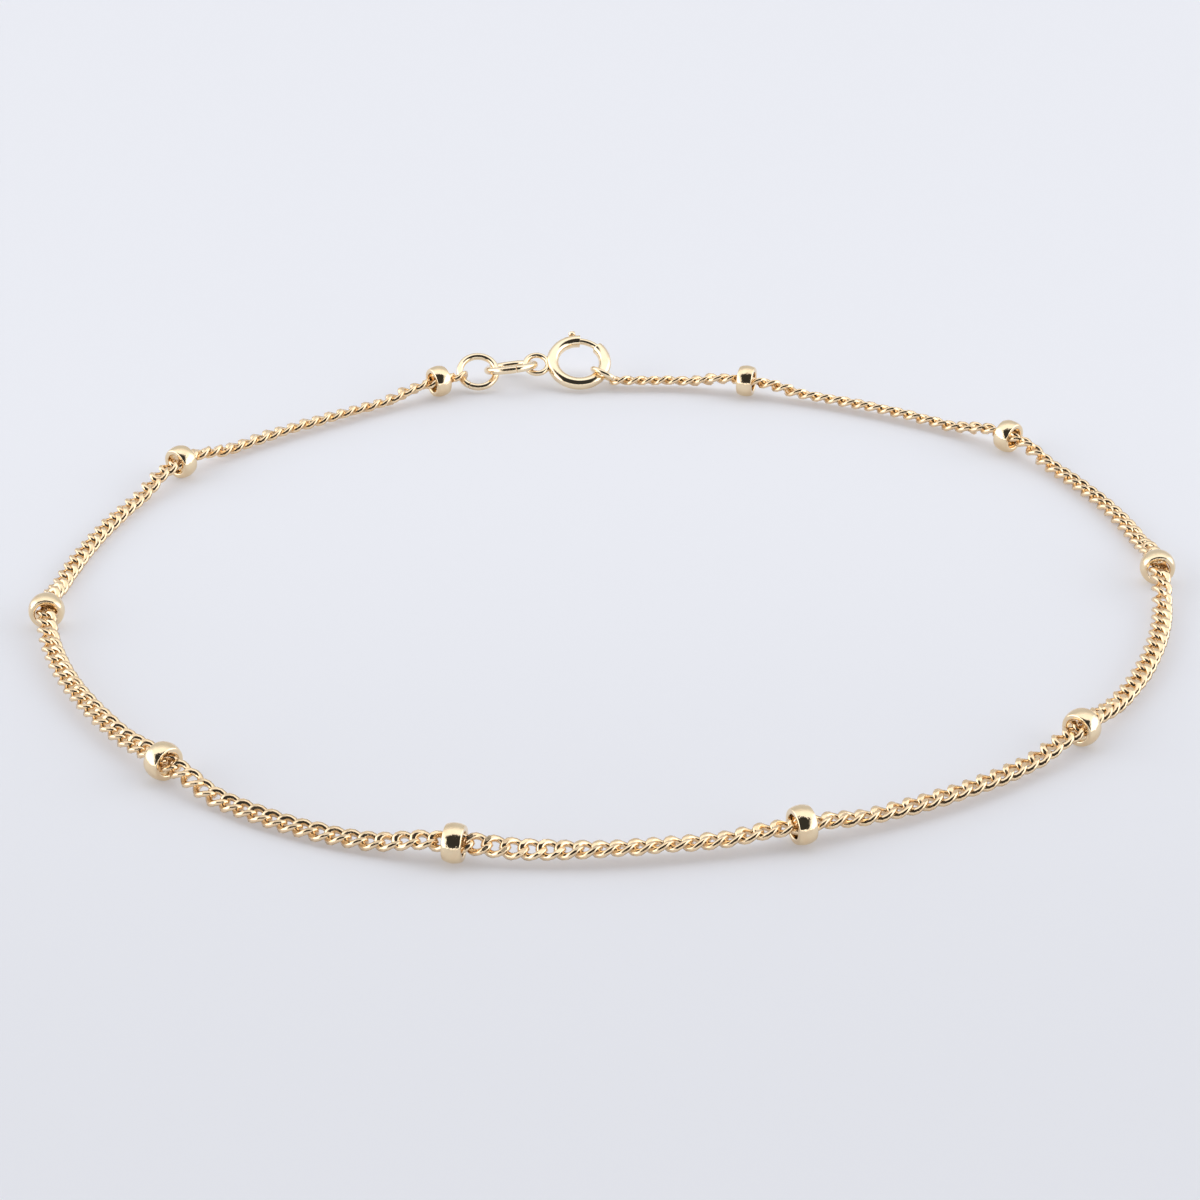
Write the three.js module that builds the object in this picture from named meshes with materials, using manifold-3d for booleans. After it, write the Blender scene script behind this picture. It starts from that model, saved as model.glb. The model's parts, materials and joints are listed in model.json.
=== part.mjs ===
// A fine satellite-chain anklet: a curb chain laid as a loose closed loop, small rondelle
// beads threaded on it, and a spring-ring clasp joined to the chain's ends by jump rings.
// Millimetres, +Z up. The loop lies on the plane z = 0, centred on the origin, with the
// clasp at the back (+Y).

import * as THREE from "three";
import { mergeVertices } from "three/addons/utils/BufferGeometryUtils.js";
import Module from "manifold-3d";

const wasm = await Module();
wasm.setup();

// ---- driving dimensions ----

const CHAIN_WIDTH = 1.4; // across the closed envelope of the curb links
const CHAIN_SIDES = 8;
const CHAIN_STEPS = 80;
const CHAIN_LOW = 0.75; // height of the chain's middle where it lies on the table
const CHAIN_IN_BEAD = 1.45; // and where a bead lifts it
const BEAD_REACH = 1.6; // half of the length that stays at the bead's height
const CHAIN_FALL = 4.2; // length in which it comes down again

const BEAD_WIDTH = 1.6;
const BEAD_R = 1.5;
const BEAD_BORE_R = 0.92;
const BEAD_SIDES = 16;
// A bead's crowned band: distance from its middle, and the drop from its full radius there.
const BEAD_CROWN = [
  [0.25, 0],
  [0.5, 0.08],
  [0.72, 0.17],
];
const BEAD_EDGE_DROP = 0.28; // where the band meets the bead's flat face

const RING_R = 2.45; // spring ring, middle of its tube
const RING_TUBE_R = 0.575;
const RING_BORE_R = 0.39;
const RING_TILT = 27.5; // its back edge is lifted
const RING_PLACE = [-2.8, 38.6, 1.95];
const CLASP_TURN = 6.2; // the clasp's line against +X, seen from above

const GAP_FROM = 40; // the ring's opening, degrees round from the side away from its eyelet
const GAP_TO = 82;
const TONGUE_TIP = 34; // closed, the tongue's tip sits in the far side of the gap
const TONGUE_TAIL = 106;
const TONGUE_R = 0.3;
const KNOB_AT = 96;
const TONGUE_TRAVEL = 48; // opens until the tip is level with the tube's mouth
const KNOB_STEM_R = 0.2;
const KNOB_HEAD_R = 0.33;
const KNOB_HEAD_FROM = 3.1;
const KNOB_TOP = 3.5;
const SLOT_WIDTH = 0.5;
const SLOT_SPARE = 5; // degrees of slot beyond the knob's middle at each end of its travel
const BORE_END = 165;
const SOCKET_END = 28;
const CUT_PAST = 6; // the bore's cutters run on into the opening

const EYELET_R = 1.05; // soldered to the ring, middle of its wire
const EYELET_WIRE_R = 0.26;
const EYELET_AT = -3.95;

// Jump rings: middle radius, wire radius, centre from the spring ring's centre along the
// clasp's line and up, then the ring's tilt about that line and its pitch.
const JUMP_RINGS = [
  { name: "link_ring", radius: 2.2, wire: 0.35, along: -6.35, up: -0.19, tilt: -20, pitch: -5 },
  { name: "end_ring", radius: 1.7, wire: 0.325, along: -9.45, up: -0.47, tilt: 31, pitch: 0 },
];
const CATCH_RING = { name: "catch_ring", radius: 1.25, wire: 0.25, at: -35, out: 2.8, lean: 28 };

// The chain's route round the loop, seen from above, from the catch ring to the end ring.
const ROUTE = [
  [1.4, 37.0], [7.0, 36.9], [12.9, 35.7], [21.0, 33.0], [29.0, 29.1], [35.9, 24.3],
  [40.9, 17.0], [43.9, 9.2], [44.8, 1.2], [43.6, -7.1], [40.2, -15.3], [34.8, -22.6],
  [28.4, -28.0], [21.2, -32.0], [13.2, -34.9], [5.3, -36.6], [-2.8, -37.4], [-11.0, -37.0],
  [-18.9, -35.3], [-26.2, -31.9], [-32.6, -26.9], [-38.2, -20.6], [-42.5, -13.4], [-44.9, -5.3],
  [-44.2, 3.4], [-41.7, 11.9], [-37.4, 19.9], [-31.2, 25.6], [-23.5, 30.9], [-15.7, 35.7],
  [-14.6, 36.3],
];

// How far along the chain each bead sits: about an inch apart.
const BEAD_PLACES = [11.5, 37.1, 62.7, 89.0, 114.2, 138.8, 163.2, 188.2, 215.0, 242.1];

// The route's own origin, measured from the middle of the finished anklet's box.
const LOOP_SHIFT = [0.06, -1.63];

const GOLD = { color: 0xe3bb7d, metalness: 1.0, roughness: 0.22 };
const PALE_GOLD = { color: 0xe9c990, metalness: 1.0, roughness: 0.18 };

// ---- helpers ----

const radians = THREE.MathUtils.degToRad;

function solidMesh(name, geometry, finish) {
  const mesh = new THREE.Mesh(geometry, new THREE.MeshStandardMaterial(finish));
  mesh.name = name;
  return mesh;
}

function toManifold(geometry) {
  const bare = geometry.clone();
  bare.deleteAttribute("normal");
  bare.deleteAttribute("uv");
  const merged = mergeVertices(bare, 1e-5);
  return new wasm.Manifold(new wasm.Mesh({
    numProp: 3,
    vertProperties: new Float32Array(merged.attributes.position.array),
    triVerts: new Uint32Array(merged.index.array),
  }));
}

function fromManifold(solid) {
  const mesh = solid.getMesh();
  const geometry = new THREE.BufferGeometry();
  geometry.setAttribute("position", new THREE.BufferAttribute(new Float32Array(mesh.vertProperties), 3));
  geometry.setIndex(new THREE.BufferAttribute(new Uint32Array(mesh.triVerts), 1));
  geometry.computeVertexNormals();
  return geometry;
}

function roundSection(radius, sides) {
  const section = new THREE.Shape();
  for (let k = 0; k < sides; k++) {
    const angle = ((k + 0.5) / sides) * 2 * Math.PI;
    const point = [radius * Math.cos(angle), radius * Math.sin(angle)];
    if (k === 0) section.moveTo(...point);
    else section.lineTo(...point);
  }
  section.closePath();
  return section;
}

function sweep(section, path, steps) {
  return new THREE.ExtrudeGeometry(section, { steps, extrudePath: path, bevelEnabled: false });
}

// An arc about +Z in the plane z = 0, from one angle to another in degrees.
class RingArc extends THREE.Curve {
  constructor(radius, from, to) {
    super();
    this.radius = radius;
    this.from = radians(from);
    this.to = radians(to);
  }

  getPoint(t, target = new THREE.Vector3()) {
    const angle = this.from + (this.to - this.from) * t;
    return target.set(this.radius * Math.cos(angle), this.radius * Math.sin(angle), 0);
  }
}

function rod(radius, sides, from, to, degreesPerStep) {
  const steps = Math.ceil(Math.abs(to - from) / degreesPerStep);
  return toManifold(sweep(roundSection(radius, sides), new RingArc(RING_R, from, to), steps));
}

// ---- chain ----

class ChainRoute extends THREE.Curve {
  constructor() {
    super();
    const points = ROUTE.map(([x, y]) => new THREE.Vector3(x, y, 0));
    this.plan = new THREE.CatmullRomCurve3(points, false, "catmullrom", 0.5);
    this.plan.arcLengthDivisions = 3000;
    this.length = this.plan.getLength();
  }

  // The beads lift the chain off the table: flat through the bead, then a smooth fall.
  heightAt(distance) {
    const nearest = Math.min(...BEAD_PLACES.map((place) => Math.abs(place - distance)));
    const fallen = THREE.MathUtils.smoothstep(nearest, BEAD_REACH, BEAD_REACH + CHAIN_FALL);
    return THREE.MathUtils.lerp(CHAIN_IN_BEAD, CHAIN_LOW, fallen);
  }

  getPoint(t, target = new THREE.Vector3()) {
    this.plan.getPointAt(t, target);
    target.z = this.heightAt(t * this.length);
    return target;
  }
}

const route = new ChainRoute();

function makeChain() {
  const section = roundSection(CHAIN_WIDTH / 2, CHAIN_SIDES);
  return solidMesh("chain", sweep(section, route, CHAIN_STEPS), GOLD);
}

// ---- beads ----

function beadGeometry() {
  const half = BEAD_WIDTH / 2;
  const toCorner = 1 / Math.cos(Math.PI / BEAD_SIDES); // keeps the flats at the stated radii
  const face = [
    [BEAD_BORE_R, half],
    [BEAD_R - BEAD_EDGE_DROP, half],
  ];
  const band = BEAD_CROWN.map(([along, drop]) => [BEAD_R - drop, along]);
  const upper = [...band, face[1], face[0]];
  const lower = upper.map(([radius, along]) => [radius, -along]).reverse();
  const outline = [...lower, ...upper, lower[0]];
  const profile = outline.map(([radius, along]) => new THREE.Vector2(radius * toCorner, along));
  const geometry = new THREE.LatheGeometry(profile, BEAD_SIDES);
  geometry.rotateY(Math.PI / BEAD_SIDES); // a flat side faces down
  geometry.rotateZ(-Math.PI / 2);
  return geometry;
}

function makeBead(index) {
  const bead = solidMesh(`bead_${String(index + 1).padStart(2, "0")}`, beadGeometry(), PALE_GOLD);
  const t = BEAD_PLACES[index] / route.length;
  const place = route.plan.getPointAt(t);
  const heading = route.plan.getTangentAt(t);
  bead.position.set(place.x, place.y, BEAD_R);
  bead.rotation.z = Math.atan2(heading.y, heading.x);
  return bead;
}

// ---- spring ring ----

function slotCutter() {
  const from = radians(KNOB_AT - SLOT_SPARE);
  const to = radians(KNOB_AT + TONGUE_TRAVEL + SLOT_SPARE);
  const outer = RING_R + 2 * RING_TUBE_R;
  const sector = new THREE.Shape();
  sector.absarc(0, 0, outer, from, to, false);
  sector.absarc(0, 0, RING_R, to, from, true);
  sector.closePath();
  const cutter = new THREE.ExtrudeGeometry(sector, {
    depth: SLOT_WIDTH,
    bevelEnabled: false,
    curveSegments: 10,
  });
  cutter.translate(0, 0, -SLOT_WIDTH / 2);
  return toManifold(cutter);
}

function makeClaspRing() {
  const eyelet = new THREE.TorusGeometry(EYELET_R, EYELET_WIRE_R, 8, 20);
  eyelet.translate(EYELET_AT, 0, 0);
  const body = rod(RING_TUBE_R, 12, GAP_TO, 360 + GAP_FROM, 10)
    .add(toManifold(eyelet))
    .subtract(rod(RING_BORE_R, 10, GAP_TO - CUT_PAST, BORE_END, 8))
    .subtract(rod(RING_BORE_R, 10, SOCKET_END, GAP_FROM + CUT_PAST, 6))
    .subtract(slotCutter());
  return solidMesh("clasp_ring", fromManifold(body), PALE_GOLD);
}

function knobPart(radius, from, to) {
  const part = new THREE.CylinderGeometry(radius, radius, to - from, 10);
  part.translate(0, (from + to) / 2, 0);
  part.rotateZ(radians(KNOB_AT - 90));
  return toManifold(part);
}

function makeTongue() {
  const body = rod(TONGUE_R, 10, TONGUE_TIP, TONGUE_TAIL, 8)
    .add(knobPart(KNOB_STEM_R, RING_R, KNOB_HEAD_FROM + 0.1))
    .add(knobPart(KNOB_HEAD_R, KNOB_HEAD_FROM, KNOB_TOP));
  return solidMesh("clasp_tongue", fromManifold(body), PALE_GOLD);
}

// ---- jump rings ----

function makeJumpRing({ name, radius, wire, along, up, tilt, pitch }) {
  const ring = solidMesh(name, new THREE.TorusGeometry(radius, wire, 8, 24), GOLD);
  ring.rotation.set(radians(tilt), radians(pitch), 0, "YXZ");
  ring.position.set(along, 0, up);
  return ring;
}

// The catch ring hangs round the spring ring's tube: its plane holds the line outwards from
// the spring ring's centre, and its axis leans from the tube's direction towards the vertical.
function makeCatchRing() {
  const { name, radius, wire, at, out, lean } = CATCH_RING;
  const ring = solidMesh(name, new THREE.TorusGeometry(radius, wire, 8, 20), GOLD);
  const turned = new THREE.Group();
  turned.rotation.set(0, 0, radians(at));
  ring.position.x = out;
  ring.rotation.x = -radians(90 - lean);
  turned.add(ring);
  return turned;
}

// ---- assembly ----

function makeClasp() {
  const clasp = new THREE.Group();
  clasp.position.set(...RING_PLACE);
  clasp.rotation.z = radians(CLASP_TURN);

  const tilted = new THREE.Group();
  tilted.rotation.x = radians(RING_TILT);
  tilted.add(makeClaspRing());
  tilted.add(makeTongue());
  tilted.add(makeCatchRing());
  clasp.add(tilted);

  for (const ring of JUMP_RINGS) {
    clasp.add(makeJumpRing(ring));
  }
  return clasp;
}

const anklet = new THREE.Group();
anklet.position.set(LOOP_SHIFT[0], LOOP_SHIFT[1], 0);
anklet.add(makeChain());
BEAD_PLACES.forEach((place, index) => anklet.add(makeBead(index)));
anklet.add(makeClasp());

export default anklet;
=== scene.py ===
"""Satellite-chain anklet: curb links, crowned rondelle beads and a spring-ring clasp in polished
gold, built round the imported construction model."""
import json
import math
import random

import bpy
from bpy.props import FloatProperty, FloatVectorProperty, IntProperty, PointerProperty
from mathutils import Matrix, Vector


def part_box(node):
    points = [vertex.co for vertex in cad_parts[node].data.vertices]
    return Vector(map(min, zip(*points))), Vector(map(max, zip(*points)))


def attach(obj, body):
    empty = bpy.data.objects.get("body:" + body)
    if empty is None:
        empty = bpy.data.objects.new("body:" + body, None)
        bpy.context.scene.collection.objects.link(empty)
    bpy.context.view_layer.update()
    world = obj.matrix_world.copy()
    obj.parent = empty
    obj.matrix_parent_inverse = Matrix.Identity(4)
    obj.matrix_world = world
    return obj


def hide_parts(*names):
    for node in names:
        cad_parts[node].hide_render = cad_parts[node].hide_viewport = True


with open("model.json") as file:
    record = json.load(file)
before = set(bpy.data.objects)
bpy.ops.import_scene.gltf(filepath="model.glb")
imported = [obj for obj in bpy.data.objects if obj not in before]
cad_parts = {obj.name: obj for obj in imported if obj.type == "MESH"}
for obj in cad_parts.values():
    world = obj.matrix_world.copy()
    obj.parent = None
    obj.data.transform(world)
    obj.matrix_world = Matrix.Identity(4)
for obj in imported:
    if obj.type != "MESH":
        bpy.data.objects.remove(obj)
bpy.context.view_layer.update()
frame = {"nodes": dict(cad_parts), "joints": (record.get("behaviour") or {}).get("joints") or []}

bl_info = {
    "name": "Satellite Chain Anklet",
    "version": (1, 0, 0),
    "blender": (4, 5, 0),
    "location": "View3D > Sidebar > Anklet",
    "description": "Builds a fine gold satellite-chain anklet on its construction model",
    "category": "Object",
}

MM = 0.001
MERGE_REACH = 1e-6
BEADS = sorted(name for name in frame["nodes"] if name.startswith("bead_"))
LATCH = next(joint for joint in frame["joints"] if joint["name"] == "clasp_latch")

# The chain's route round the loop, seen from above, in metres: the construction model's own
# points, and the shift that centres them.
ROUTE = [
    (0.0014, 0.0370), (0.0070, 0.0369), (0.0129, 0.0357), (0.0210, 0.0330), (0.0290, 0.0291),
    (0.0359, 0.0243), (0.0409, 0.0170), (0.0439, 0.0092), (0.0448, 0.0012), (0.0436, -0.0071),
    (0.0402, -0.0153), (0.0348, -0.0226), (0.0284, -0.0280), (0.0212, -0.0320), (0.0132, -0.0349),
    (0.0053, -0.0366), (-0.0028, -0.0374), (-0.0110, -0.0370), (-0.0189, -0.0353),
    (-0.0262, -0.0319), (-0.0326, -0.0269), (-0.0382, -0.0206), (-0.0425, -0.0134),
    (-0.0449, -0.0053), (-0.0442, 0.0034), (-0.0417, 0.0119), (-0.0374, 0.0199),
    (-0.0312, 0.0256), (-0.0235, 0.0309), (-0.0157, 0.0357), (-0.0146, 0.0363),
]
LOOP_SHIFT = Vector((0.00006, -0.00163, 0.0))

# Height of the links' middles inside a bead, the distance from the bead's middle at which they
# start to come down, and the length of chain over which they do.
CHAIN_IN_BEAD = 0.00145
BEAD_REACH = 0.0016
CHAIN_FALL = 0.0042

# The first link's middle before the route's start, and the last one's past its end.
CHAIN_LEAD = 0.00030
CHAIN_TAIL = 0.00060

# A link's ring before it is drawn long: segments round it and round its wire.
LINK_SEGMENTS, WIRE_SEGMENTS = 18, 7
CUT_TOUCH = 1e-7

# The links' small differences, in degrees: turn about the chain, then nod and swing.
LINK_ROLL, LINK_NOD, LINK_SWING = 4, 3, 2

# How the flat chain turns about its own length: distance along it from the catch ring, in
# millimetres, and the turn towards the outside of the loop, in degrees.
CHAIN_TURNS = [
    (0, 28), (12, 25), (30, 20), (50, 8), (70, 0), (89, -6), (100, -5), (113, -9), (116, -10),
    (122, -12), (127, -10), (130, 2), (133, 25), (138, 36), (141, 5), (150, 4), (163, 16),
    (176, 14), (188, 2), (203, 5), (215, 15), (242, 25),
]

# The height the chain comes down to between its beads: distance along it and height, in
# millimetres.
CHAIN_LOWS = [
    (0, 0.85), (24, 0.78), (37, 0.6), (50, 0.55), (62, 0.6), (76, 0.8), (90, 0.9), (113, 1.0),
    (122, 1.15), (133, 1.15), (139, 0.85), (150, 0.66), (162, 0.64), (170, 1.1), (182, 1.1),
    (190, 0.6), (200, 0.5), (212, 0.6), (228, 0.75), (243, 0.75),
]

# How far single beads are turned on the chain, seen from above, in degrees.
BEAD_TURNS = {"bead_05": 4, "bead_06": -3}
CROWN_STEPS = 10
BEAD_SPIN_STEPS = 72
RIM_ROUND, BORE_ROUND = 0.00009, 0.00012

# The clasp, with angles round the spring ring from the line along the clasp: the gap in its
# tube, the tongue's ends, the knob, and the slot the knob slides in.
GAP_FROM, GAP_TO = math.radians(40), math.radians(82)
TONGUE_TIP, TONGUE_TAIL = math.radians(34), math.radians(106)
KNOB_AT = math.radians(96)
KNOB_TRAVEL = math.radians(LATCH["range_deg"][1])
SLOT_SPARE = math.radians(5)
SLOT_HALF = 0.00025
TUBE_WALL = 0.00017
EYELET_RADIUS, EYELET_WIRE, EYELET_X = 0.00105, 0.00026, -0.00395

# The knob's stem and head: radius, where it starts and ends from the ring's middle, and the
# rounding of its edges.
KNOB_STEM = (0.0002, 0.0025, 0.0032, 0.00003)
KNOB_HEAD = (0.00033, 0.0031, 0.0035, 0.0001)

# Jump rings: middle radius and wire radius in metres, tilt about the clasp's line and pitch in
# degrees, and the angle round the ring at which its ends meet.
JUMP_RINGS = {
    "link_ring": (0.0022, 0.00035, -20, -5, 100),
    "end_ring": (0.0017, 0.000325, 31, 0, 60),
}

# The catch ring: middle radius and wire radius, its place round the spring ring, its lean and
# the angle of its seam.
CATCH_RING = (0.00125, 0.00025, -35, 28, 140)
SEAM_HALF = math.radians(0.7)

# The golds: patch scale, roughness where bright and where dull, depth of the polishing lines and
# height of the relief in metres.
CHAIN_FINISH = (1500.0, 0.12, 0.27, 0.4, 0.000002)
BEAD_FINISH = (900.0, 0.05, 0.16, 0.6, 0.000012)
CLASP_FINISH = (700.0, 0.08, 0.22, 0.7, 0.000004)

# The table's painted shade: how much of its colour it shows far off and near, between two places
# along Y; it is painted darker towards the front, where less light falls.
PAINTED_SHADE_FAR, PAINTED_SHADE_NEAR = (0.03, 0.785), (-0.08, 0.685)
TABLE_RADIUS, TABLE_INSET = 4.0, 3.4
# The table's painted glow: a faint light of its own that lightens the shadows cast on it.
TABLE_GLOW, TABLE_GLOW_STRENGTH = (0.985, 0.955, 0.98, 1.0), 0.19

# The soft light all round, and what of it shows behind the table.
LIGHT_COLOUR = (0.97, 0.98, 1.0, 1.0)
LIGHT_ALL_ROUND = 1.35
LIGHT_BACKDROP = 0.9
ROOM_DARKNESS = 0.97

# The view: height above the table, distance, the point looked at, and lens.
VIEW_ELEVATION = math.radians(30.8)
VIEW_DISTANCE = 0.2176
VIEW_AIM = Vector((-0.00075, -0.00454, 0.0008))
VIEW_LENS = 81.0


# ---- working helpers ----


def clear_selection():
    if bpy.context.mode != "OBJECT":
        bpy.ops.object.mode_set(mode="OBJECT")
    bpy.ops.object.select_all(action="DESELECT")


def work_on(piece):
    clear_selection()
    piece.select_set(True)
    bpy.context.view_layer.objects.active = piece


def new_piece(name):
    piece = bpy.context.active_object
    piece.name = name
    piece.data.name = name
    return piece


def pick(piece, kind, test):
    """Selects, in edit mode, the vertices, edges or faces whose middle passes the test."""
    bpy.ops.object.mode_set(mode="EDIT")
    bpy.ops.mesh.select_mode(type=kind)
    bpy.ops.mesh.select_all(action="DESELECT")
    bpy.ops.object.mode_set(mode="OBJECT")
    mesh = piece.data
    if kind == "VERT":
        for vertex in mesh.vertices:
            vertex.select = test(vertex.co)
    elif kind == "EDGE":
        for edge in mesh.edges:
            ends = [mesh.vertices[i].co for i in edge.vertices]
            edge.select = test((ends[0] + ends[1]) / 2)
    else:
        for face in mesh.polygons:
            face.select = test(face.center, face.normal)
    bpy.ops.object.mode_set(mode="EDIT")


def edit_all(piece):
    work_on(piece)
    bpy.ops.object.mode_set(mode="EDIT")
    bpy.ops.mesh.select_mode(type="VERT")
    bpy.ops.mesh.select_all(action="SELECT")


def leave_edit():
    bpy.ops.object.mode_set(mode="OBJECT")


def tidy_shell(piece):
    """Merges the piece's doubles and turns its faces outwards."""
    edit_all(piece)
    bpy.ops.mesh.remove_doubles(threshold=MERGE_REACH)
    bpy.ops.mesh.normals_make_consistent(inside=False)
    leave_edit()


def apply_modifier(piece, kind, **settings):
    work_on(piece)
    modifier = piece.modifiers.new(kind.title(), kind)
    for key, value in settings.items():
        setattr(modifier, key, value)
    bpy.ops.object.modifier_apply(modifier=modifier.name)


def settle(piece, place):
    """Gives the piece its place in its mesh, with its object left at the origin."""
    work_on(piece)
    bpy.ops.object.transform_apply(location=True, rotation=True, scale=True)
    piece.data.transform(place)
    piece.data.update()


def join(pieces, name):
    clear_selection()
    for piece in pieces:
        piece.select_set(True)
    bpy.context.view_layer.objects.active = pieces[0]
    if len(pieces) > 1:
        bpy.ops.object.join()
    return new_piece(name)


def finish_piece(piece, body, slot, material, *nodes):
    """Gives a piece its material, the body it rides and the nodes it replaces; the slot is not
    used.
    """
    piece.data.materials.clear()
    piece.data.materials.append(material)
    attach(piece, body)
    if nodes:
        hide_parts(*nodes)


# ---- the chain's route ----


def smooth_step(value, low, high):
    t = min(max((value - low) / (high - low), 0.0), 1.0)
    return t * t * (3 - 2 * t)


class Route:
    """The chain's line: places and directions by the distance along it."""

    SAMPLES = 60

    def __init__(self):
        corners = [Vector((x, y, 0.0)) + LOOP_SHIFT for x, y in ROUTE]
        padded = [2 * corners[0] - corners[1]] + corners + [2 * corners[-1] - corners[-2]]
        self.points = []
        for a, b, c, d in zip(padded, padded[1:], padded[2:], padded[3:]):
            for k in range(self.SAMPLES):
                t = k / self.SAMPLES
                bend = 2 * a - 5 * b + 4 * c - d
                twist = 3 * b - a - 3 * c + d
                self.points.append(0.5 * (2 * b + (c - a) * t + bend * t * t + twist * t ** 3))
        self.points.append(corners[-1])
        self.distances = [0.0]
        for before, after in zip(self.points, self.points[1:]):
            self.distances.append(self.distances[-1] + (after - before).length)
        self.length = self.distances[-1]

    def at(self, distance):
        """Point and level direction at a distance along the route, run straight past its ends."""
        low, high = 0, len(self.distances) - 2
        while low < high:
            middle = (low + high + 1) // 2
            if self.distances[middle] <= distance:
                low = middle
            else:
                high = middle - 1
        before, after = self.points[low], self.points[low + 1]
        direction = (after - before).normalized()
        return before + direction * (distance - self.distances[low]), direction

    def nearest(self, point):
        level = Vector((point.x, point.y, 0.0))
        index = min(range(len(self.points)), key=lambda i: (self.points[i] - level).length_squared)
        return self.distances[index]


def table_value(table, at):
    """Smooth reading between the rows of a short table."""
    if at <= table[0][0]:
        return table[0][1]
    for (x0, y0), (x1, y1) in zip(table, table[1:]):
        if at <= x1:
            return y0 + (y1 - y0) * smooth_step(at, x0, x1)
    return table[-1][1]


# ---- sizes and colours ----


class AnkletSizes(bpy.types.PropertyGroup):
    link_length: FloatProperty(
        name="Link length", description="Outside length of one curb link", default=0.0022,
        precision=5, unit="LENGTH")
    link_width: FloatProperty(
        name="Link width", description="Outside width of one curb link", default=0.00173,
        precision=5, unit="LENGTH")
    wire: FloatProperty(
        name="Link wire", description="Thickness of the links' wire", default=0.00053,
        precision=5, unit="LENGTH")
    link_twist: FloatProperty(
        name="Link twist", description="Twist of a link from end to end",
        default=math.radians(-118), subtype="ANGLE")
    cut_height: FloatProperty(
        name="Cut height", description="Height of the cut flats above a link's middle",
        default=0.00042, precision=5, unit="LENGTH")
    pitch: FloatProperty(
        name="Link pitch", description="Distance from one link to the next", default=0.00127,
        precision=5, unit="LENGTH")
    bead_width: FloatProperty(
        name="Bead width", description="Width of a bead along the chain", default=0.00144,
        precision=5, unit="LENGTH")
    bead_radius: FloatProperty(
        name="Bead radius", description="Largest radius of a bead", default=0.00144,
        precision=5, unit="LENGTH")
    bead_bore: FloatProperty(
        name="Bead bore", description="Radius of the hole through a bead", default=0.00089,
        precision=5, unit="LENGTH")
    bead_crown: FloatProperty(
        name="Bead crown", description="Radius of the crowned band across a bead", default=0.0016,
        precision=5, unit="LENGTH")
    ring_radius: FloatProperty(
        name="Spring ring radius", description="Middle radius of the spring ring's tube",
        default=0.00245, precision=5, unit="LENGTH")
    tube_radius: FloatProperty(
        name="Tube radius", description="Outside radius of the spring ring's tube",
        default=0.000575, precision=6, unit="LENGTH")
    tongue_radius: FloatProperty(
        name="Tongue radius", description="Radius of the clasp's sliding tongue", default=0.0003,
        precision=5, unit="LENGTH")
    seed: IntProperty(
        name="Seed", description="Order of the links' small differences", default=7)


class AnkletColours(bpy.types.PropertyGroup):
    chain_gold: FloatVectorProperty(
        name="Chain gold", description="Colour of the links", subtype="COLOR", size=4,
        default=(0.92, 0.71, 0.46, 1.0))
    bead_gold: FloatVectorProperty(
        name="Bead gold", description="Colour of the beads", subtype="COLOR", size=4,
        default=(0.90, 0.73, 0.49, 1.0))
    clasp_gold: FloatVectorProperty(
        name="Clasp gold", description="Colour of the clasp and jump rings", subtype="COLOR",
        size=4, default=(0.93, 0.77, 0.54, 1.0))
    table: FloatVectorProperty(
        name="Table", description="Colour of the surface below", subtype="COLOR", size=4,
        default=(0.903, 0.924, 0.982, 1.0))


# ---- materials ----


def group_node(tree, name, **values):
    node = tree.nodes.new("ShaderNodeGroup")
    node.node_tree = bpy.data.node_groups[name]
    for key, value in values.items():
        node.inputs[key.replace("_", " ")].default_value = value
    return node


def start_group(name, inputs, outputs):
    tree = bpy.data.node_groups.new(name, "ShaderNodeTree")
    for label, kind, value in inputs:
        socket = tree.interface.new_socket(label, in_out="INPUT", socket_type=kind)
        if value is not None:
            socket.default_value = value
    for label, kind in outputs:
        tree.interface.new_socket(label, in_out="OUTPUT", socket_type=kind)
    return tree, tree.nodes.new("NodeGroupInput"), tree.nodes.new("NodeGroupOutput")


def noise(tree, vector, scale, detail, roughness=0.5):
    node = tree.nodes.new("ShaderNodeTexNoise")
    node.inputs["Detail"].default_value = detail
    node.inputs["Roughness"].default_value = roughness
    tree.links.new(vector, node.inputs["Vector"])
    if isinstance(scale, (int, float)):
        node.inputs["Scale"].default_value = scale
    else:
        tree.links.new(scale, node.inputs["Scale"])
    return node


def remap(tree, value, low, high, to_low, to_high):
    node = tree.nodes.new("ShaderNodeMapRange")
    node.interpolation_type = "SMOOTHSTEP"
    ends = ("From Min", low), ("From Max", high), ("To Min", to_low), ("To Max", to_high)
    for label, end in ends:
        if isinstance(end, (int, float)):
            node.inputs[label].default_value = end
        else:
            tree.links.new(end, node.inputs[label])
    tree.links.new(value, node.inputs["Value"])
    return node.outputs["Result"]


def polish_group():
    """Handled polish: cloudy patches that are a little duller and a little deeper in colour."""
    tree, source, sink = start_group(
        "Handled Polish",
        [("Vector", "NodeSocketVector", None), ("Color", "NodeSocketColor", None),
         ("Deep Color", "NodeSocketColor", None), ("Patch Scale", "NodeSocketFloat", 900.0),
         ("Bright Roughness", "NodeSocketFloat", 0.06), ("Dull Roughness", "NodeSocketFloat", 0.2)],
        [("Color", "NodeSocketColor"), ("Roughness", "NodeSocketFloat")])
    cloud = noise(tree, source.outputs["Vector"], source.outputs["Patch Scale"], 3.0)
    dull = remap(tree, cloud.outputs["Fac"], 0.40, 0.72, 0.0, 1.0)
    rough = remap(tree, dull, 0.0, 1.0, source.outputs["Bright Roughness"],
                  source.outputs["Dull Roughness"])
    tint = tree.nodes.new("ShaderNodeMix")
    tint.data_type = "RGBA"
    tree.links.new(dull, tint.inputs["Factor"])
    tree.links.new(source.outputs["Color"], tint.inputs["A"])
    tree.links.new(source.outputs["Deep Color"], tint.inputs["B"])
    tree.links.new(tint.outputs["Result"], sink.inputs["Color"])
    tree.links.new(rough, sink.inputs["Roughness"])


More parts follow.
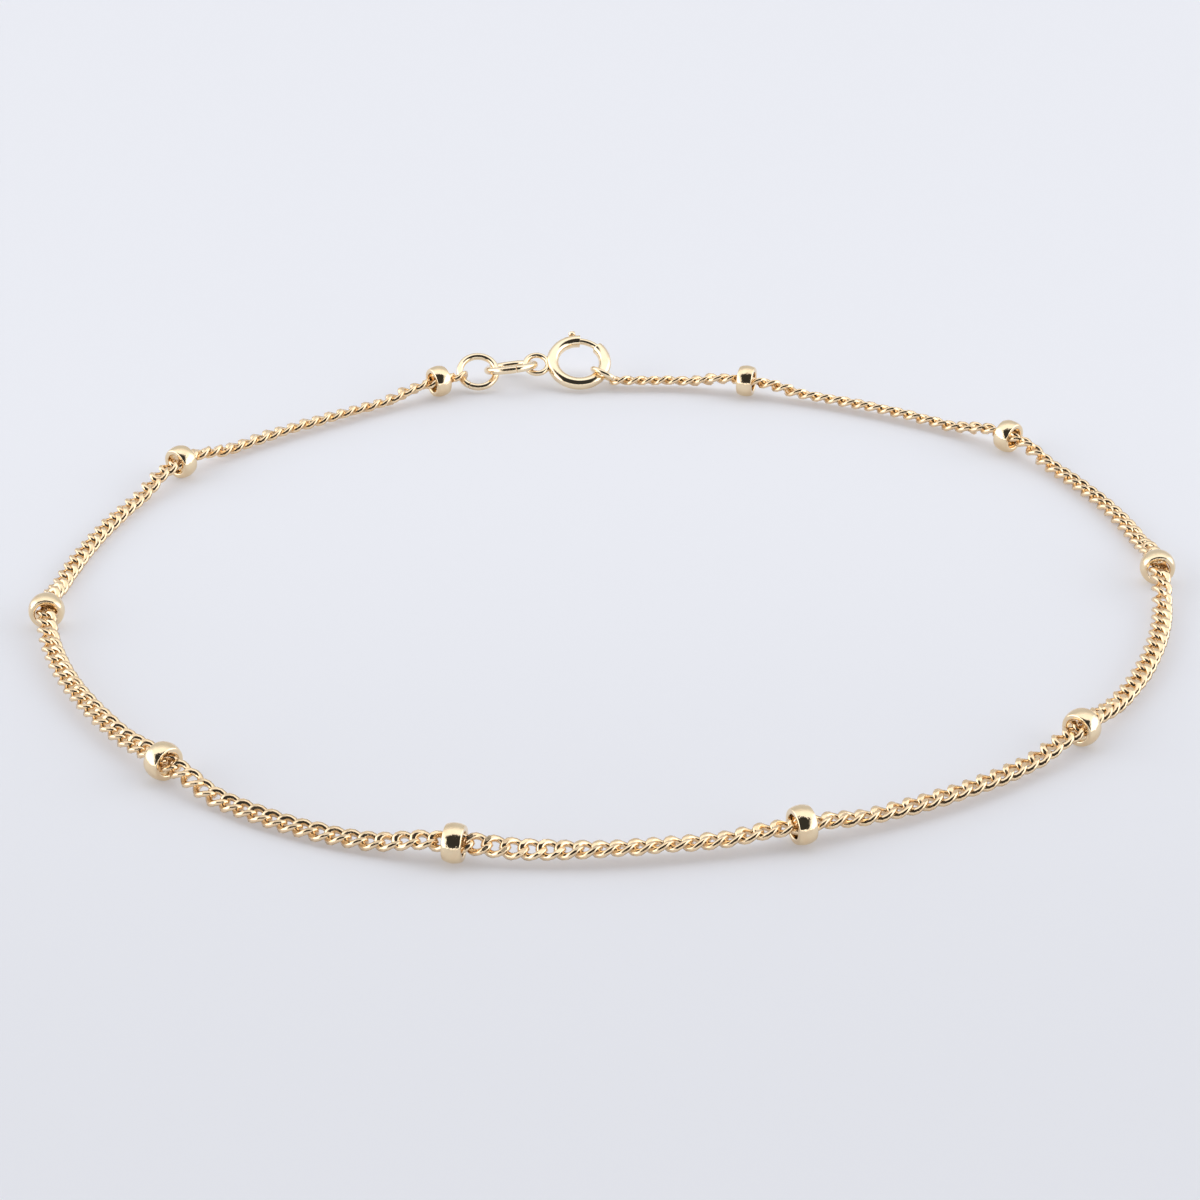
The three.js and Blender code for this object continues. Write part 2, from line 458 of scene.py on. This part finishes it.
def scratch_group():
    """Hairline scratches and fine grain left by polishing, as a height."""
    tree, source, sink = start_group(
        "Polishing Marks",
        [("Vector", "NodeSocketVector", None), ("Line Scale", "NodeSocketFloat", 2600.0),
         ("Grain Scale", "NodeSocketFloat", 5500.0), ("Line Depth", "NodeSocketFloat", 0.6)],
        [("Height", "NodeSocketFloat")])
    stretch = tree.nodes.new("ShaderNodeMapping")
    stretch.inputs["Rotation"].default_value = (0.4, 0.9, 0.6)
    stretch.inputs["Scale"].default_value = (1.0, 0.06, 1.0)
    tree.links.new(source.outputs["Vector"], stretch.inputs["Vector"])
    lines = noise(tree, stretch.outputs["Vector"], source.outputs["Line Scale"], 2.0, 0.6)
    cut = remap(tree, lines.outputs["Fac"], 0.60, 0.72, 0.0, source.outputs["Line Depth"])
    grain = noise(tree, source.outputs["Vector"], source.outputs["Grain Scale"], 2.0)
    height = tree.nodes.new("ShaderNodeMath")
    height.operation = "SUBTRACT"
    tree.links.new(grain.outputs["Fac"], height.inputs[0])
    tree.links.new(cut, height.inputs[1])
    tree.links.new(height.outputs["Value"], sink.inputs["Height"])


def deeper(colour, amount):
    """The same gold where its surface is duller: less blue and green in it."""
    return (colour[0] * (1 - 0.3 * amount), colour[1] * (1 - 0.7 * amount),
            colour[2] * (1 - amount), 1.0)


def gold_material(name, colour, finish):
    """Polished gold with handled patches and polishing marks."""
    patch_scale, bright, dull, depth, relief_height = finish
    material = bpy.data.materials.new(name)
    material.use_nodes = True
    tree = material.node_tree
    shader = tree.nodes["Principled BSDF"]
    shader.inputs["Metallic"].default_value = 1.0
    place = tree.nodes.new("ShaderNodeTexCoord").outputs["Object"]
    polish = group_node(tree, "Handled Polish", Color=colour, Deep_Color=deeper(colour, 0.12),
                        Patch_Scale=patch_scale, Bright_Roughness=bright, Dull_Roughness=dull)
    tree.links.new(place, polish.inputs["Vector"])
    tree.links.new(polish.outputs["Color"], shader.inputs["Base Color"])
    tree.links.new(polish.outputs["Roughness"], shader.inputs["Roughness"])
    marks = group_node(tree, "Polishing Marks", Line_Depth=depth)
    tree.links.new(place, marks.inputs["Vector"])
    relief = tree.nodes.new("ShaderNodeBump")
    relief.inputs["Strength"].default_value = 1.0
    relief.inputs["Distance"].default_value = relief_height
    tree.links.new(marks.outputs["Height"], relief.inputs["Height"])
    tree.links.new(relief.outputs["Normal"], shader.inputs["Normal"])


def make_materials(colours):
    polish_group()
    scratch_group()
    gold_material("Chain Gold", tuple(colours.chain_gold), CHAIN_FINISH)
    gold_material("Bead Gold", tuple(colours.bead_gold), BEAD_FINISH)
    gold_material("Clasp Gold", tuple(colours.clasp_gold), CLASP_FINISH)


def material_named(name):
    if name not in bpy.data.materials:
        make_materials(bpy.context.scene.anklet_colours)
    return bpy.data.materials[name]


# ---- chain ----


def make_link(sizes):
    """One curb link lying along X: a round wire drawn long, twisted, with a flat cut on the
    high places of both faces."""
    outer = sizes.link_width / 2
    wire = sizes.wire / 2
    bpy.ops.mesh.primitive_torus_add(
        major_segments=LINK_SEGMENTS, minor_segments=WIRE_SEGMENTS, major_radius=outer - wire,
        minor_radius=wire)
    link = new_piece("link_pattern")
    edit_all(link)
    bpy.ops.transform.resize(value=(sizes.link_length / sizes.link_width, 1, 1))
    leave_edit()
    apply_modifier(link, "SIMPLE_DEFORM", deform_method="TWIST", deform_axis="X",
                   angle=sizes.link_twist)
    for side in (-1, 1):
        edit_all(link)
        bpy.ops.mesh.bisect(
            plane_co=(0, 0, side * sizes.cut_height), plane_no=(0, 0, side), use_fill=True,
            clear_outer=True, threshold=CUT_TOUCH)
        leave_edit()
    bpy.ops.object.shade_smooth()
    level = sizes.cut_height * 0.98
    pick(link, "FACE", lambda co, normal: abs(co.z) > level and abs(normal.z) > 0.99)
    bpy.ops.mesh.region_to_loop()
    bpy.ops.mesh.mark_sharp()
    leave_edit()
    return link


def link_place(route, bead_places, distance, sizes, chance):
    """Where one link goes: along the route, at the height its turn needs, turned by the table."""
    point, forward = route.at(distance)
    turn = math.radians(
        table_value(CHAIN_TURNS, distance / MM) + chance.uniform(-LINK_ROLL, LINK_ROLL))
    half_width = sizes.link_width / 2
    low = math.hypot(half_width * math.sin(turn), sizes.cut_height * math.cos(turn))
    nearest = min(abs(distance - place) for place in bead_places)
    fallen = smooth_step(nearest, BEAD_REACH, BEAD_REACH + CHAIN_FALL)
    low = max(low, table_value(CHAIN_LOWS, distance / MM) * MM)
    height = CHAIN_IN_BEAD + (low - CHAIN_IN_BEAD) * fallen
    outward = forward.cross(Vector((0, 0, 1))).normalized() * -1
    up = Vector((0, 0, 1)) * math.cos(turn) + outward * math.sin(turn)
    across = up.cross(forward).normalized()
    turned = Matrix((forward, across, up)).transposed().to_4x4()
    sway = Matrix.Rotation(math.radians(chance.uniform(-LINK_NOD, LINK_NOD)), 4, "Y")
    sway @= Matrix.Rotation(math.radians(chance.uniform(-LINK_SWING, LINK_SWING)), 4, "Z")
    return Matrix.Translation(point + Vector((0, 0, height))) @ turned @ sway


class ANKLET_OT_chain(bpy.types.Operator):
    """Lay the curb chain round the loop, a run of links between each two beads"""

    bl_idname = "anklet.chain"
    bl_label = "Curb Chain"

    def execute(self, context):
        sizes = context.scene.anklet_sizes
        route = Route()
        bead_places = [route.nearest(node_middle(name)) for name in BEADS]
        chance = random.Random(sizes.seed)
        pattern = make_link(sizes)
        first = -CHAIN_LEAD
        last = route.length + CHAIN_TAIL
        count = round((last - first) / sizes.pitch)
        runs = {}
        for k in range(count + 1):
            distance = first + (last - first) * k / count
            copy = pattern.copy()
            copy.data = pattern.data.copy()
            context.collection.objects.link(copy)
            copy.data.transform(link_place(route, bead_places, distance, sizes, chance))
            run = sum(place < distance for place in bead_places)
            runs.setdefault(run, []).append(copy)
        for run, links in sorted(runs.items()):
            piece = join(links, f"chain_run_{run + 1:02d}")
            finish_piece(piece, "loop", "chain_gold", material_named("Chain Gold"), "chain")
        bpy.data.objects.remove(pattern)
        return {"FINISHED"}


# ---- beads ----


def node_middle(name):
    low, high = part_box(name)
    return (low + high) / 2


def make_bead(sizes):
    """A crowned rondelle round X: its section is drawn, then spun."""
    half = sizes.bead_width / 2
    crown = sizes.bead_crown
    rim = sizes.bead_radius - (crown - math.sqrt(crown ** 2 - half ** 2))
    wall = rim - sizes.bead_bore
    bpy.ops.mesh.primitive_plane_add(size=1, rotation=(math.pi / 2, 0, 0))
    bead = new_piece("bead_pattern")
    bpy.ops.object.transform_apply(location=False, rotation=True, scale=False)
    edit_all(bead)
    bpy.ops.transform.resize(value=(2 * half, 1, wall))
    bpy.ops.transform.translate(value=(0, 0, sizes.bead_bore + wall / 2))
    leave_edit()
    pick(bead, "EDGE", lambda co: co.z > rim - wall * 0.1)
    bpy.ops.mesh.subdivide(number_cuts=CROWN_STEPS - 1)
    leave_edit()
    for k in range(1, CROWN_STEPS):
        along = -half + 2 * half * k / CROWN_STEPS
        rise = math.sqrt(crown ** 2 - along ** 2) - math.sqrt(crown ** 2 - half ** 2)
        pick(bead, "VERT", lambda co: co.z > rim * 0.99 and abs(co.x - along) < half * 0.05)
        bpy.ops.transform.translate(value=(0, 0, rise))
        leave_edit()
    corner = half * 0.99
    pick(bead, "VERT", lambda co: abs(co.x) > corner and co.z > rim * 0.99)
    bpy.ops.mesh.bevel(offset=RIM_ROUND, segments=4, affect="VERTICES")
    leave_edit()
    pick(bead, "VERT", lambda co: abs(co.x) > corner and co.z < sizes.bead_bore * 1.01)
    bpy.ops.mesh.bevel(offset=BORE_ROUND, segments=4, affect="VERTICES")
    bpy.ops.mesh.select_all(action="SELECT")
    bpy.ops.mesh.delete(type="ONLY_FACE")
    bpy.ops.mesh.select_all(action="SELECT")
    bpy.ops.mesh.spin(
        steps=BEAD_SPIN_STEPS, angle=2 * math.pi, center=(0, 0, 0), axis=(1, 0, 0))
    leave_edit()
    tidy_shell(bead)
    work_on(bead)
    bpy.ops.object.shade_smooth_by_angle(angle=math.radians(50))
    return bead


class ANKLET_OT_beads(bpy.types.Operator):
    """Thread the crowned rondelle beads on the chain"""

    bl_idname = "anklet.beads"
    bl_label = "Beads"

    def execute(self, context):
        sizes = context.scene.anklet_sizes
        route = Route()
        pattern = make_bead(sizes)
        for name in BEADS:
            middle = node_middle(name)
            forward = route.at(route.nearest(middle))[1]
            yaw = math.atan2(forward.y, forward.x) + math.radians(BEAD_TURNS.get(name, 0))
            turn = Matrix.Rotation(yaw, 4, "Z")
            middle.z = sizes.bead_radius
            bead = pattern.copy()
            bead.data = pattern.data.copy()
            context.collection.objects.link(bead)
            bead.name = f"{name}_polished"
            bead.data.transform(Matrix.Translation(middle) @ turn)
            finish_piece(bead, "loop", "bead_gold", material_named("Bead Gold"), name)
        bpy.data.objects.remove(pattern)
        return {"FINISHED"}


# ---- clasp ----


def clasp_place():
    """The spring ring's own frame: its axis is the latch's, and X runs along the clasp."""
    up = Vector(LATCH["axis"]).normalized()
    along = Vector((0, 0, 1)).cross(up).normalized()
    back = up.cross(along)
    turned = Matrix((along, back, up)).transposed().to_4x4()
    return Matrix.Translation(Vector(LATCH["pos_m"])) @ turned


def bent_rod(name, section, ring, start, end, steps, sides=24):
    """A round section spun about Z from one angle to another, with open ends."""
    bpy.ops.mesh.primitive_circle_add(vertices=sides, radius=section, rotation=(math.pi / 2, 0, 0))
    rod = new_piece(name)
    bpy.ops.object.transform_apply(location=False, rotation=True, scale=False)
    edit_all(rod)
    bpy.ops.transform.translate(value=(ring, 0, 0))
    bpy.ops.mesh.spin(steps=steps, angle=end - start, center=(0, 0, 0), axis=(0, 0, 1))
    leave_edit()
    tidy_shell(rod)
    rod.data.transform(Matrix.Rotation(spin_start(rod, start, end), 4, "Z"))
    return rod


def spin_start(rod, start, end):
    """The turn that brings the spun stretch's middle to the middle of the asked angles."""
    middle = sum((vertex.co for vertex in rod.data.vertices), Vector())
    return (start + end) / 2 - math.atan2(middle.y, middle.x)


class ANKLET_OT_clasp(bpy.types.Operator):
    """Build the spring ring with its eyelet, and its sliding tongue with the thumb knob"""

    bl_idname = "anklet.clasp"
    bl_label = "Spring Ring Clasp"

    def execute(self, context):
        sizes = context.scene.anklet_sizes
        place = clasp_place()
        gold = material_named("Clasp Gold")
        ring = make_spring_ring(sizes)
        settle(ring, place)
        finish_piece(ring, "loop", "clasp_gold", gold, "clasp_ring")
        tongue = make_tongue(sizes)
        settle(tongue, place)
        finish_piece(tongue, "tongue", "clasp_gold", gold, "clasp_tongue")
        return {"FINISHED"}


def make_spring_ring(sizes):
    """A tube bent round with a gap, a slot for the knob and an eyelet soldered on."""
    ring = bent_rod("spring_ring", sizes.tube_radius, sizes.ring_radius, GAP_TO,
                    GAP_FROM + 2 * math.pi, 80)
    slot_from = KNOB_AT - SLOT_SPARE
    slot_to = KNOB_AT + KNOB_TRAVEL + SLOT_SPARE

    def in_slot(co, _normal):
        angle = math.atan2(co.y, co.x) % (2 * math.pi)
        outside = math.hypot(co.x, co.y) > sizes.ring_radius
        return outside and abs(co.z) < SLOT_HALF and slot_from < angle < slot_to

    work_on(ring)
    pick(ring, "FACE", in_slot)
    bpy.ops.mesh.delete(type="FACE")
    leave_edit()
    apply_modifier(ring, "SOLIDIFY", thickness=TUBE_WALL, offset=-1.0, use_even_offset=True)
    apply_modifier(ring, "BEVEL", width=0.00004, segments=2, limit_method="ANGLE",
                   angle_limit=math.radians(55))
    bpy.ops.mesh.primitive_torus_add(
        major_segments=48, minor_segments=16, major_radius=EYELET_RADIUS,
        minor_radius=EYELET_WIRE, location=(EYELET_X, 0, 0))
    eyelet = new_piece("eyelet")
    settle(eyelet, Matrix.Identity(4))
    apply_modifier(ring, "BOOLEAN", operation="UNION", object=eyelet, solver="EXACT")
    bpy.data.objects.remove(eyelet)
    work_on(ring)
    bpy.ops.object.shade_smooth_by_angle(angle=math.radians(40))
    return ring


def cap_ends(rod):
    """Closes the open ends of a bent rod."""
    work_on(rod)
    bpy.ops.object.mode_set(mode="EDIT")
    bpy.ops.mesh.select_mode(type="EDGE")
    bpy.ops.mesh.select_all(action="DESELECT")
    bpy.ops.mesh.select_non_manifold()
    bpy.ops.mesh.edge_face_add()
    leave_edit()
    tidy_shell(rod)


def make_tongue(sizes):
    """The curved tongue with its thumb knob."""
    rod = bent_rod("tongue", sizes.tongue_radius, sizes.ring_radius, TONGUE_TIP, TONGUE_TAIL, 24)
    cap_ends(rod)
    apply_modifier(rod, "BEVEL", width=0.00012, segments=3, limit_method="ANGLE",
                   angle_limit=math.radians(50))
    stem = knob_part("knob_stem", *KNOB_STEM)
    head = knob_part("knob_head", *KNOB_HEAD)
    tongue = join([rod, stem, head], "clasp_tongue_polished")
    bpy.ops.object.shade_smooth_by_angle(angle=math.radians(40))
    return tongue


def knob_part(name, radius, low, high, edge):
    """A stub of round rod that points outwards from the ring at the knob's angle."""
    bpy.ops.mesh.primitive_cylinder_add(
        vertices=24, radius=radius, depth=high - low, location=((low + high) / 2, 0, 0),
        rotation=(0, math.pi / 2, 0))
    part = new_piece(name)
    settle(part, Matrix.Rotation(KNOB_AT, 4, "Z"))
    apply_modifier(part, "BEVEL", width=edge, segments=3, limit_method="ANGLE",
                   angle_limit=math.radians(50))
    return part


# ---- jump rings ----


def make_jump_ring(name, radius, wire, seam):
    """A ring of round wire whose cut ends all but meet."""
    ring = bent_rod(name, wire, radius, math.radians(seam) + SEAM_HALF,
                    math.radians(seam) + 2 * math.pi - SEAM_HALF, 64, 16)
    cap_ends(ring)
    apply_modifier(ring, "BEVEL", width=wire * 0.12, segments=2, limit_method="ANGLE",
                   angle_limit=math.radians(60))
    bpy.ops.object.shade_smooth_by_angle(angle=math.radians(40))
    return ring


class ANKLET_OT_jump_rings(bpy.types.Operator):
    """Close the three jump rings between the chain and the clasp"""

    bl_idname = "anklet.jump_rings"
    bl_label = "Jump Rings"

    def execute(self, context):
        gold = material_named("Clasp Gold")
        ring_frame = clasp_place().to_3x3()
        along = ring_frame.col[0]
        heading = Matrix.Rotation(math.atan2(along.y, along.x), 4, "Z")
        for name, (radius, wire, tilt, pitch, seam) in JUMP_RINGS.items():
            ring = make_jump_ring(f"{name}_polished", radius, wire, seam)
            lean = Matrix.Rotation(math.radians(pitch), 4, "Y")
            lean @= Matrix.Rotation(math.radians(tilt), 4, "X")
            settle(ring, Matrix.Translation(node_middle(name)) @ heading @ lean)
            finish_piece(ring, "loop", "ring_gold", gold, name)
        radius, wire, at, lean, seam = CATCH_RING
        ring = make_jump_ring("catch_ring_polished", radius, wire, seam)
        turned = ring_frame.to_4x4() @ Matrix.Rotation(math.radians(at), 4, "Z")
        turned @= Matrix.Rotation(math.radians(lean - 90), 4, "X")
        settle(ring, Matrix.Translation(node_middle("catch_ring")) @ turned)
        finish_piece(ring, "loop", "ring_gold", gold, "catch_ring")
        return {"FINISHED"}


# ---- stage ----


def table_material(colour):
    """A matt pale surface, with painted shade a little darker towards the front and a faint painted
    glow.
    """
    material = bpy.data.materials.new("Pale Table")
    material.use_nodes = True
    tree = material.node_tree
    shader = tree.nodes["Principled BSDF"]
    shader.inputs["Specular IOR Level"].default_value = 0.25
    place = tree.nodes.new("ShaderNodeTexCoord").outputs["Object"]
    cloud = noise(tree, place, 14.0, 2.0)
    rough = remap(tree, cloud.outputs["Fac"], 0.3, 0.7, 0.55, 0.7)
    tree.links.new(rough, shader.inputs["Roughness"])
    # Painted shade: the colour is scaled down towards the front along Y, standing in for less light
    # there.
    split = tree.nodes.new("ShaderNodeSeparateXYZ")
    tree.links.new(place, split.inputs["Vector"])
    shade = remap(tree, split.outputs["Y"], PAINTED_SHADE_FAR[0], PAINTED_SHADE_NEAR[0], PAINTED_SHADE_FAR[1],
                  PAINTED_SHADE_NEAR[1])
    tint = tree.nodes.new("ShaderNodeVectorMath")
    tint.operation = "SCALE"
    tint.inputs[0].default_value = colour[:3]
    tree.links.new(shade, tint.inputs["Scale"])
    tree.links.new(tint.outputs["Vector"], shader.inputs["Base Color"])
    # Painted glow: the table gives off a faint light of its own, which lightens the shadows on it.
    shader.inputs["Emission Color"].default_value = TABLE_GLOW
    shader.inputs["Emission Strength"].default_value = TABLE_GLOW_STRENGTH
    return material


def studio_world():
    """Soft light all round: bright behind and above, with the dark of the room in front."""
    world = bpy.data.worlds.new("Soft Studio")
    world.use_nodes = True
    bpy.context.scene.world = world
    tree = world.node_tree
    tree.nodes.clear()
    way = tree.nodes.new("ShaderNodeTexCoord").outputs["Generated"]
    split = tree.nodes.new("ShaderNodeSeparateXYZ")
    tree.links.new(way, split.inputs["Vector"])
    x, y, z = split.outputs

    def combine(operation, first, second):
        node = tree.nodes.new("ShaderNodeMath")
        node.operation = operation
        for socket, value in zip(node.inputs, (first, second)):
            if isinstance(value, (int, float)):
                socket.default_value = value
            else:
                tree.links.new(value, socket)
        return node.outputs["Value"]

    # The dark of the room: straight ahead, clear of the table, and not out to the sides.
    side = combine("ABSOLUTE", x, 0.0)
    narrow = remap(tree, side, 0.60, 0.74, 1.0, 0.0)
    front = remap(tree, y, -0.04, -0.20, 0.0, 1.0)
    above = remap(tree, z, 0.05, 0.13, 0.0, 1.0)
    dark = combine("MULTIPLY", combine("MULTIPLY", narrow, front), above)
    # Brighter at both sides and low down in front, softer behind.
    sides = remap(tree, side, 0.68, 0.86, 0.0, 0.9)
    low = remap(tree, z, 0.10, 0.30, 1.0, 0.0)
    ahead = remap(tree, y, -0.55, -0.20, 0.6, 0.0)
    behind = remap(tree, y, 0.30, 0.85, 0.0, 0.65)
    glow = combine("ADD", combine("ADD", sides, LIGHT_ALL_ROUND), combine("MULTIPLY", low, ahead))
    glow = combine("SUBTRACT", glow, behind)
    left = combine("SUBTRACT", 1.0, combine("MULTIPLY", dark, ROOM_DARKNESS))
    strength = combine("MULTIPLY", glow, left)
    seen = tree.nodes.new("ShaderNodeLightPath").outputs["Is Camera Ray"]
    shown = tree.nodes.new("ShaderNodeMix")
    tree.links.new(seen, shown.inputs["Factor"])
    tree.links.new(strength, shown.inputs["A"])
    shown.inputs["B"].default_value = LIGHT_BACKDROP
    background = tree.nodes.new("ShaderNodeBackground")
    background.inputs["Color"].default_value = LIGHT_COLOUR
    tree.links.new(shown.outputs["Result"], background.inputs["Strength"])
    output = tree.nodes.new("ShaderNodeOutputWorld")
    tree.links.new(background.outputs["Background"], output.inputs["Surface"])


class ANKLET_OT_stage(bpy.types.Operator):
    """Set the pale table, the soft light and the camera"""

    bl_idname = "anklet.stage"
    bl_label = "Stage"

    def execute(self, context):
        clear_selection()
        bpy.ops.mesh.primitive_circle_add(vertices=96, radius=TABLE_RADIUS, fill_type="NGON")
        table = new_piece("table")
        edit_all(table)
        bpy.ops.mesh.inset(thickness=TABLE_INSET)
        leave_edit()
        table.data.materials.append(table_material(context.scene.anklet_colours.table))
        studio_world()
        scene = context.scene
        scene.view_settings.view_transform = "Standard"
        back = Vector((0, -math.cos(VIEW_ELEVATION), math.sin(VIEW_ELEVATION)))
        clear_selection()
        bpy.ops.object.camera_add(location=VIEW_AIM + back * VIEW_DISTANCE,
                                  rotation=(math.pi / 2 - VIEW_ELEVATION, 0, 0))
        camera = context.active_object
        camera.data.lens = VIEW_LENS
        camera.data.clip_start = 0.005
        camera.data.clip_end = 20.0
        scene.camera = camera
        return {"FINISHED"}


# ---- panel and running order ----

OPERATORS = (ANKLET_OT_chain, ANKLET_OT_beads, ANKLET_OT_clasp, ANKLET_OT_jump_rings,
             ANKLET_OT_stage)


class ANKLET_PT_sidebar(bpy.types.Panel):
    bl_idname = "ANKLET_PT_sidebar"
    bl_label = "Anklet"
    bl_space_type = "VIEW_3D"
    bl_region_type = "UI"
    bl_category = "Anklet"

    def draw(self, context):
        layout = self.layout
        for settings in (context.scene.anklet_sizes, context.scene.anklet_colours):
            for name in settings.bl_rna.properties.keys():
                if name not in {"rna_type", "name"}:
                    layout.prop(settings, name)
        for operator in OPERATORS:
            layout.operator(operator.bl_idname)


CLASSES = (AnkletSizes, AnkletColours, *OPERATORS, ANKLET_PT_sidebar)


def register():
    for cls in CLASSES:
        bpy.utils.register_class(cls)
    bpy.types.Scene.anklet_sizes = PointerProperty(type=AnkletSizes)
    bpy.types.Scene.anklet_colours = PointerProperty(type=AnkletColours)


def unregister():
    del bpy.types.Scene.anklet_colours
    del bpy.types.Scene.anklet_sizes
    for cls in reversed(CLASSES):
        bpy.utils.unregister_class(cls)


def main():
    register()
    bpy.ops.anklet.chain()
    bpy.ops.anklet.beads()
    bpy.ops.anklet.clasp()
    bpy.ops.anklet.jump_rings()
    bpy.ops.anklet.stage()


if __name__ == "__main__":
    main()
